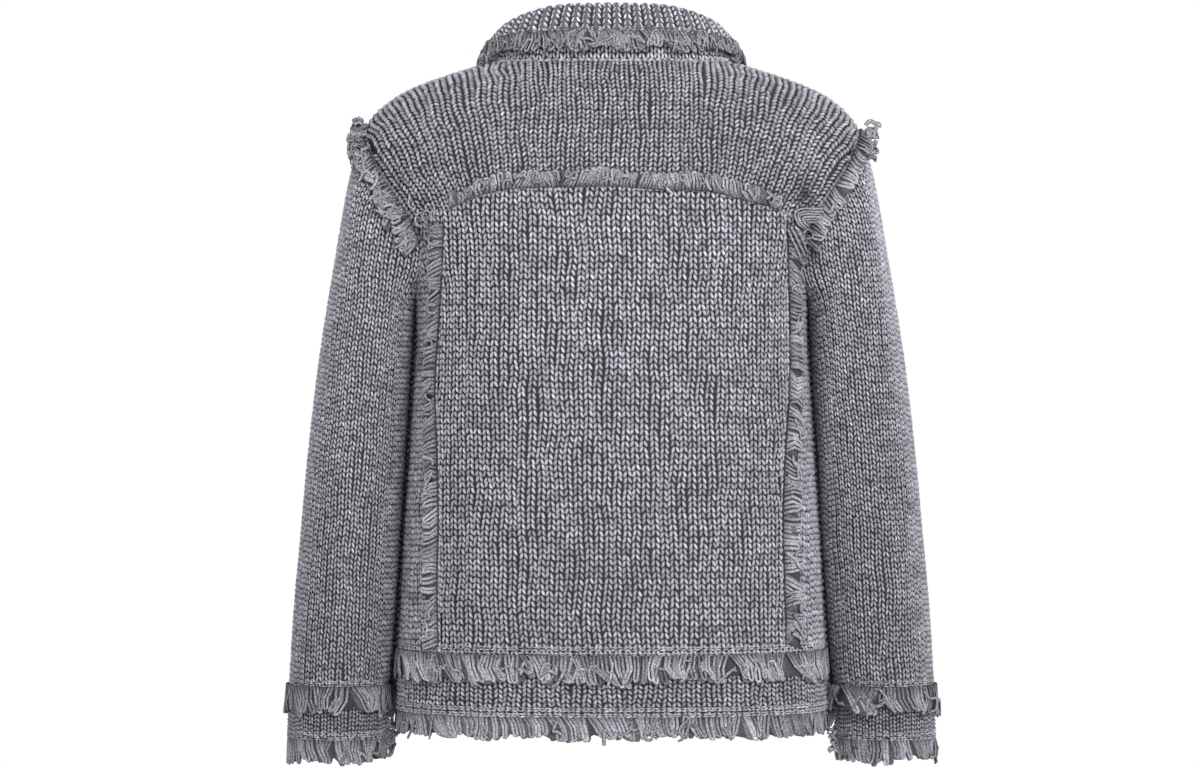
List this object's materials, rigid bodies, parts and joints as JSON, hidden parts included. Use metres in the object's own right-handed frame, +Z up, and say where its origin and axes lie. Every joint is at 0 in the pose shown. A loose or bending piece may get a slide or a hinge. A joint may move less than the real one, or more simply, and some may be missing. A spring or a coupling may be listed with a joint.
{
  "type": "cardigan",
  "caption": "Hip-length knitted cardigan with a folded ribbed collar, long sleeves with cuffs, and yarn fringe along its seams, filled out as worn.",
  "frame": {"origin": "middle of the neck base, level with the points where the shoulders meet the neck, where the wearer's shoulders hold the garment", "axes": "+Z up, from the hem to the collar; -Y out of the front opening; +X to the garment's own left sleeve"},
  "size_m": [0.5931, 0.2699, 0.6754],
  "materials": {
    "knit": "chunky plain knit in grey melange yarn, matt",
    "rib_knit": "ribbed knit in grey melange yarn, matt",
    "band_knit": "denser plain knit in grey melange yarn, matt",
    "fringe_yarn": "loose looped yarn, lighter grey, matt",
    "button": "dark grey, satin"
  },
  "bodies": {
    "root": {"back_yoke": "knit", "back_panel": "knit", "back_side_L": "knit", "back_side_R": "knit", "front_L": "knit", "front_R": "knit", "sleeve_L": "knit", "sleeve_R": "knit", "collar_stand": "knit", "collar_leaf": "rib_knit", "hem_band": "band_knit", "cuff_L": "band_knit", "cuff_R": "band_knit", "front_band_outer": "band_knit", "front_band_inner": "band_knit", "fringe_yoke": "fringe_yarn", "fringe_back_seam_L": "fringe_yarn", "fringe_back_seam_R": "fringe_yarn", "fringe_armhole_L": "fringe_yarn", "fringe_armhole_R": "fringe_yarn", "fringe_waist": "fringe_yarn", "fringe_hem": "fringe_yarn", "fringe_collar": "fringe_yarn", "fringe_cuff_seam_L": "fringe_yarn", "fringe_cuff_seam_R": "fringe_yarn", "fringe_cuff_edge_L": "fringe_yarn", "fringe_cuff_edge_R": "fringe_yarn", "button_1": "button", "button_2": "button", "button_3": "button", "button_4": "button", "button_5": "button", "button_6": "button"}
  },
  "joints": []
}
